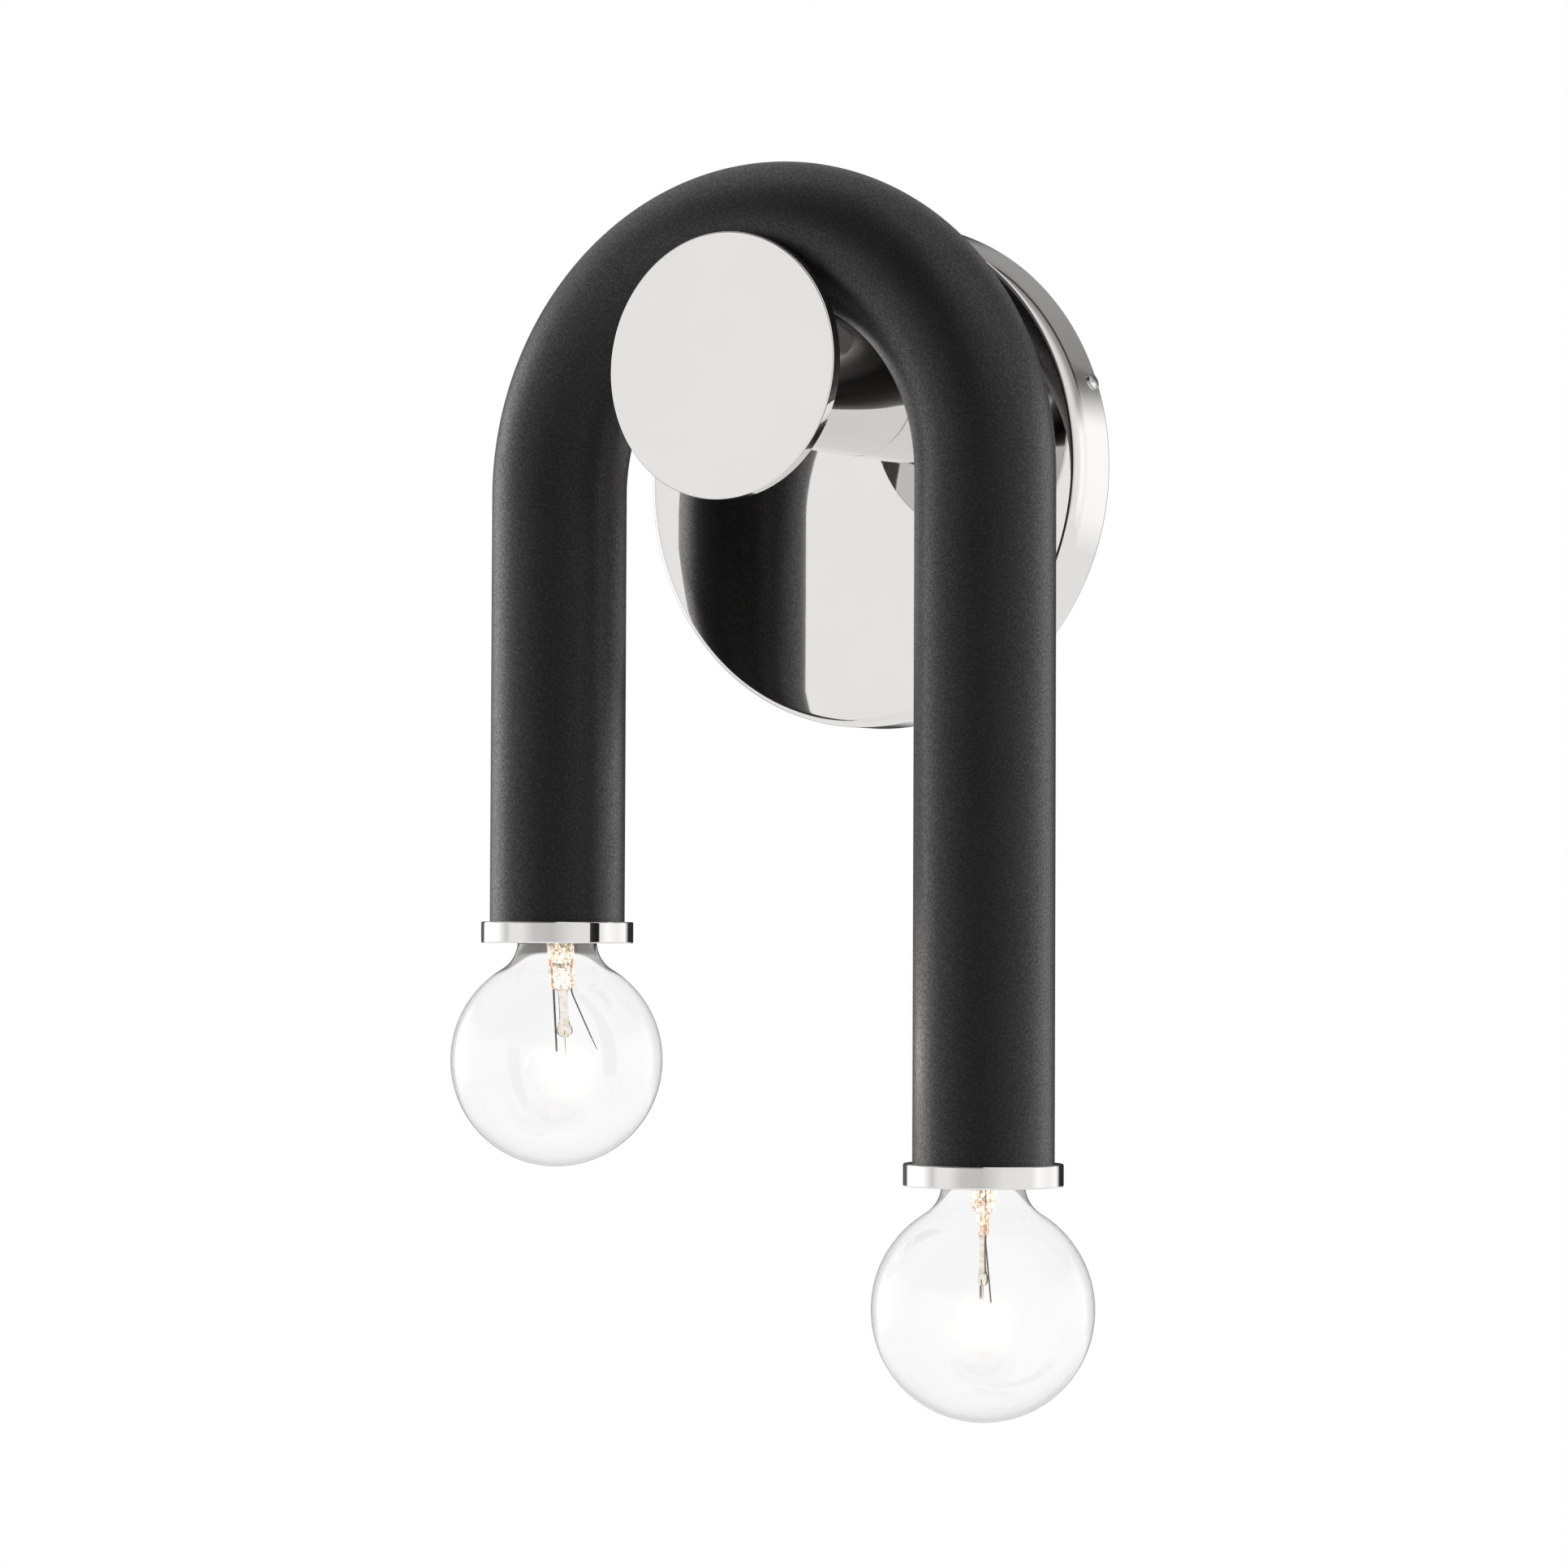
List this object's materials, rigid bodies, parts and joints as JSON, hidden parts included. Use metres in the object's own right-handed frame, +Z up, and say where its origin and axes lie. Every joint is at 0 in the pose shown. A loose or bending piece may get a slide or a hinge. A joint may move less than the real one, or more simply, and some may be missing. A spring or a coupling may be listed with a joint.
{
  "type": "wall sconce",
  "caption": "Wall sconce: a black tube bent like a cane hangs over a polished stem on a round canopy, with a bare globe lamp under each leg.",
  "frame": {"origin": "centre of the round canopy, on the wall plane", "axes": "+Z up along the legs, +X to the right seen from the room, +Y into the wall"},
  "size_m": [0.1752, 0.0832, 0.3001],
  "materials": {
    "polished_nickel": "mirror polished nickel",
    "black_powder_coat": "matte black powder coat with a fine grain",
    "zinc_steel": "zinc plated",
    "ground_green": "green zinc",
    "copper": "bare copper",
    "connector_plastic": "moulded",
    "wire_insulation": "smooth",
    "socket_body": "glazed porcelain white",
    "brass": "pressed",
    "clear_glass": "clear",
    "lamp_cap": "rolled",
    "insulator_glass": "black glass",
    "solder": "soldered",
    "mount_glass": "clear, warm glints",
    "lead_wire": "drawn nickel wire",
    "lit_filament": "glowing warm white"
  },
  "bodies": {
    "fixture": {"arm_tube": "black_powder_coat", "canopy": "polished_nickel", "crown_bush": "zinc_steel", "crown_nipple": "zinc_steel", "crown_nut": "zinc_steel", "crown_saddle": "zinc_steel", "crown_seat": "zinc_steel", "front_disc": "polished_nickel", "ground_lead": "copper", "ground_screw": "ground_green", "left_centre_contact": "brass", "left_collar": "polished_nickel", "left_retaining_ring": "zinc_steel", "left_socket_body": "socket_body", "left_socket_shell": "brass", "left_wires": "wire_insulation", "mounting_plate": "zinc_steel", "right_centre_contact": "brass", "right_collar": "polished_nickel", "right_retaining_ring": "zinc_steel", "right_socket_body": "socket_body", "right_socket_shell": "brass", "right_wires": "wire_insulation", "stem_lock_washer": "zinc_steel", "stem_nipple": "zinc_steel", "stem_nut": "zinc_steel", "stem_plug": "zinc_steel", "stem_tube": "polished_nickel", "wire_connectors": "connector_plastic"},
    "left_lamp": {"left_lamp_glass": "clear_glass", "left_lamp_base": "lamp_cap", "left_lamp_insulator": "insulator_glass", "left_lamp_tip": "solder", "left_lamp_mount": "mount_glass", "left_lamp_leads": "lead_wire", "left_lamp_filament": "lit_filament"},
    "right_lamp": {"right_lamp_glass": "clear_glass", "right_lamp_base": "lamp_cap", "right_lamp_insulator": "insulator_glass", "right_lamp_tip": "solder", "right_lamp_mount": "mount_glass", "right_lamp_leads": "lead_wire", "right_lamp_filament": "lit_filament"},
    "side_screw_left": {"side_screw_left": "polished_nickel"},
    "side_screw_right": {"side_screw_right": "polished_nickel"}
  },
  "joints": [
    {"name": "left_lamp_out", "type": "slide", "parent": "fixture", "child": "left_lamp", "axis": [0, 0, -1], "range_m": [0, 0.024]},
    {"name": "right_lamp_out", "type": "slide", "parent": "fixture", "child": "right_lamp", "axis": [0, 0, -1], "range_m": [0, 0.024]},
    {"name": "side_screw_left_out", "type": "slide", "parent": "fixture", "child": "side_screw_left", "axis": [-0.9455, 0, -0.3256], "range_m": [0, 0.004]},
    {"name": "side_screw_right_out", "type": "slide", "parent": "fixture", "child": "side_screw_right", "axis": [0.9455, 0, 0.3256], "range_m": [0, 0.004]}
  ]
}
